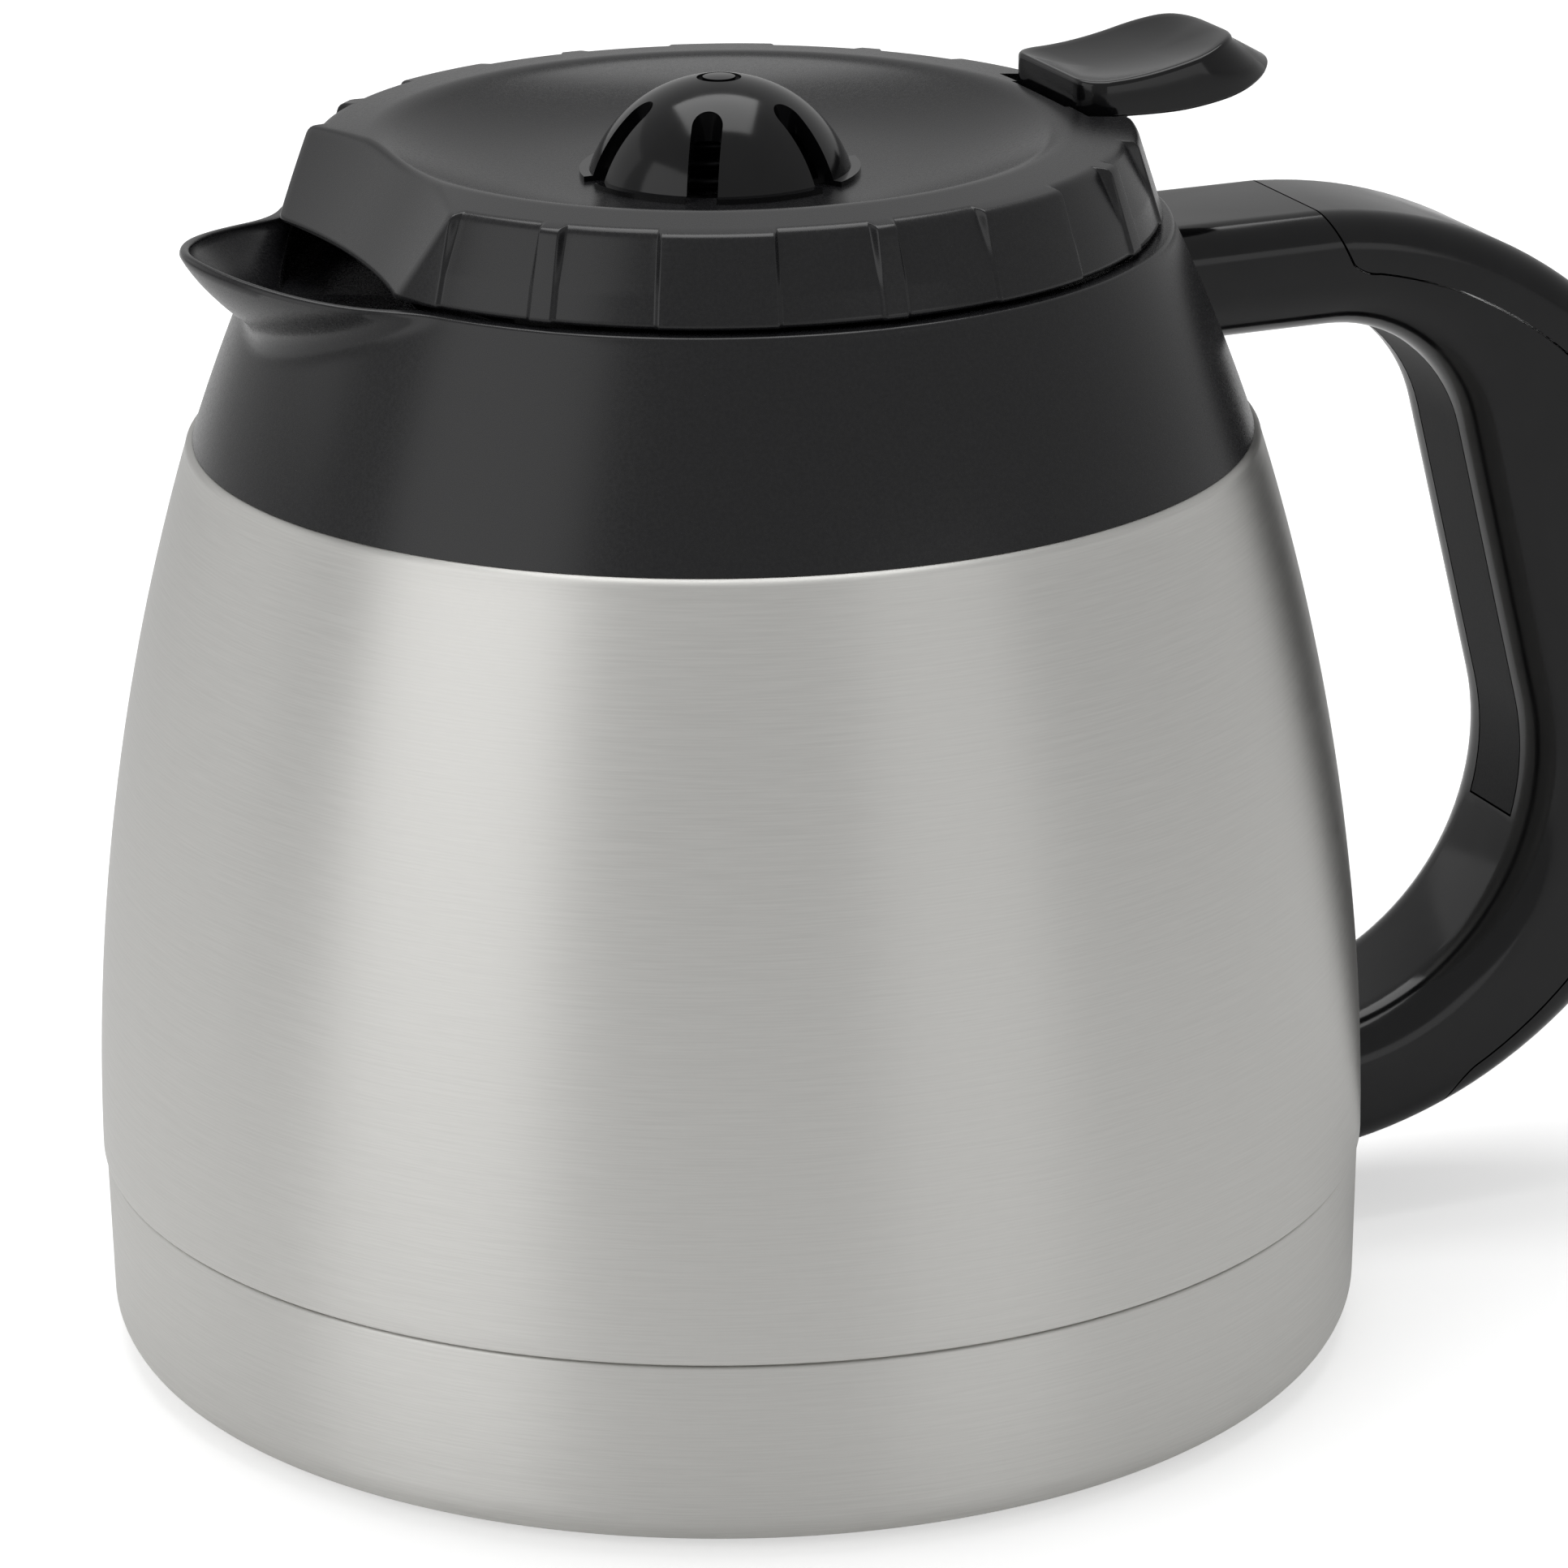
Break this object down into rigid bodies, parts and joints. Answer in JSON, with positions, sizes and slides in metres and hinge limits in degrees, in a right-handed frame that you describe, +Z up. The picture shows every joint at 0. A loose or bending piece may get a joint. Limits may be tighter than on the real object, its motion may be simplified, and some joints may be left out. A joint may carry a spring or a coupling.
{
  "type": "insulated coffee carafe",
  "caption": "Vacuum steel coffee jug with black collar, pouring spout, brew-through screw-off lid with slotted dome, thumb lever that lifts the pour valve, and a closed loop handle.",
  "frame": {"origin": "centre of the foot pad's resting face, on the axis of the steel body", "axes": "+Z up along the body axis, +X towards the handle, -X towards the spout"},
  "size_m": [0.2039, 0.1492, 0.1493],
  "materials": {
    "steel": "brushed round the axis, satin",
    "steel_inner": "plain satin",
    "bare_metal": "plain",
    "satin_black": "fine satin grain",
    "gloss_black": "smooth gloss",
    "soft_black": "soft matt",
    "pad_rubber": "matt",
    "silicone": "matt translucent"
  },
  "bodies": {
    "jug": {"base_pad": "pad_rubber", "base_cup": "steel", "outer_shell": "steel", "inner_flask": "steel_inner", "flask_base": "steel_inner", "flask_heel": "steel_inner", "flask_neck": "steel_inner", "getter_cup": "bare_metal", "evacuation_seal": "bare_metal", "collar": "satin_black", "neck_seal": "silicone", "handle_body": "gloss_black", "handle_cover": "gloss_black", "grip_pad": "soft_black", "upper_handle_screws": "bare_metal", "handle_bracket": "bare_metal", "lower_handle_screw": "bare_metal"},
    "lid_seal": {"lid_gasket": "silicone"},
    "lid": {"lid_top": "satin_black", "brew_dome": "gloss_black", "lid_plug": "satin_black", "lid_screws": "bare_metal", "lever_pin": "bare_metal"},
    "lever": {"pour_lever": "gloss_black"},
    "valve": {"pour_valve": "satin_black", "valve_seal": "silicone", "valve_spring": "bare_metal"}
  },
  "joints": [
    {"name": "lid_lift", "type": "slide", "parent": "jug", "child": "lid_seal", "axis": [0, 0, 1], "range_m": [0, 0.045]},
    {"name": "lid_turn", "type": "hinge", "parent": "lid_seal", "child": "lid", "pos_m": [0, 0, 0.1165], "axis": [0, 0, 1], "range_deg": [0, 90]},
    {"name": "lever_press", "type": "hinge", "parent": "lid", "child": "lever", "pos_m": [0.0436, 0, 0.1372], "axis": [0, 1, 0], "range_deg": [0, 8]},
    {"name": "valve_lift", "type": "slide", "parent": "lid", "child": "valve", "axis": [0, 0, 1], "range_m": [0, 0.00614], "stiffness_N_per_m": 2, "springref_m": -0.002, "deforming": ["valve_spring"]}
  ],
  "couplings": [
    {"joint": "lever_press", "follows": "valve_lift", "rad_per_m": 22.7}
  ]
}
